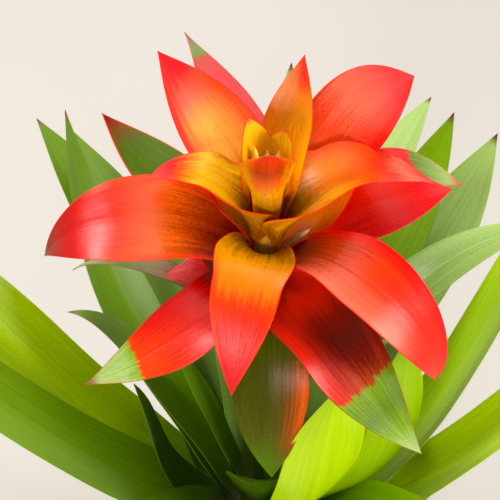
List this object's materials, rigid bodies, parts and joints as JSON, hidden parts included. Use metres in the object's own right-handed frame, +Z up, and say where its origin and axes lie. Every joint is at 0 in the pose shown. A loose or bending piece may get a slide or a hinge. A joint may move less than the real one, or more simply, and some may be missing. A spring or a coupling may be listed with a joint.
{
  "type": "guzmania kokedama",
  "caption": "Flowering guzmania with red and orange bracts over a rosette of arching green leaves, rooted in a round moss ball bound with twine.",
  "frame": {"origin": "centre of the flat spot under the moss ball, on the surface that it stands on", "axes": "+Z up along the flower stalk; -Y towards the viewer of the picture, +X to its right"},
  "size_m": [0.3493, 0.3248, 0.423],
  "materials": {
    "moss": "matte",
    "soil": "matte",
    "twine": "matte",
    "stem": "satin",
    "flower": "satin",
    "bud": "satin",
    "red_bract": "satin",
    "orange_bract": "satin",
    "yellow_bract": "satin",
    "green_bract": "satin",
    "olive_bract": "satin",
    "leaf": "satin"
  },
  "bodies": {
    "root": {"moss_cover": "moss", "soil_ball": "soil", "twine": "twine", "stem": "stem", "flower_buds": "flower", "side_bud": "bud", "bract_cup_front": "orange_bract", "bract_cup_left": "yellow_bract", "bract_cup_right": "yellow_bract", "bract_upright": "orange_bract", "bract_yellow_left": "yellow_bract", "bract_orange_right": "orange_bract", "bract_back_left": "red_bract", "bract_front": "red_bract", "bract_back_right": "red_bract", "bract_front_right": "red_bract", "bract_left": "red_bract", "bract_right_low": "red_bract", "bract_back_tall": "red_bract", "bract_front_left": "red_bract", "bract_front_low": "red_bract", "bract_right_green": "green_bract", "bract_left_under": "red_bract", "bract_left_green": "green_bract", "bract_right_olive": "olive_bract", "bract_front_olive": "olive_bract", "bract_left_thin": "olive_bract", "leaf_01": "leaf", "leaf_02": "leaf", "leaf_03": "leaf", "leaf_04": "leaf", "leaf_05": "leaf", "leaf_06": "leaf", "leaf_07": "leaf", "leaf_08": "leaf", "leaf_09": "leaf", "leaf_10": "leaf", "leaf_11": "leaf", "leaf_12": "leaf", "leaf_13": "leaf", "leaf_14": "leaf", "leaf_15": "leaf", "leaf_16": "leaf", "leaf_17": "leaf", "leaf_18": "leaf", "leaf_19": "leaf", "leaf_20": "leaf", "leaf_21": "leaf", "leaf_22": "leaf", "leaf_23": "leaf", "leaf_24": "leaf", "leaf_25": "leaf"}
  },
  "joints": []
}
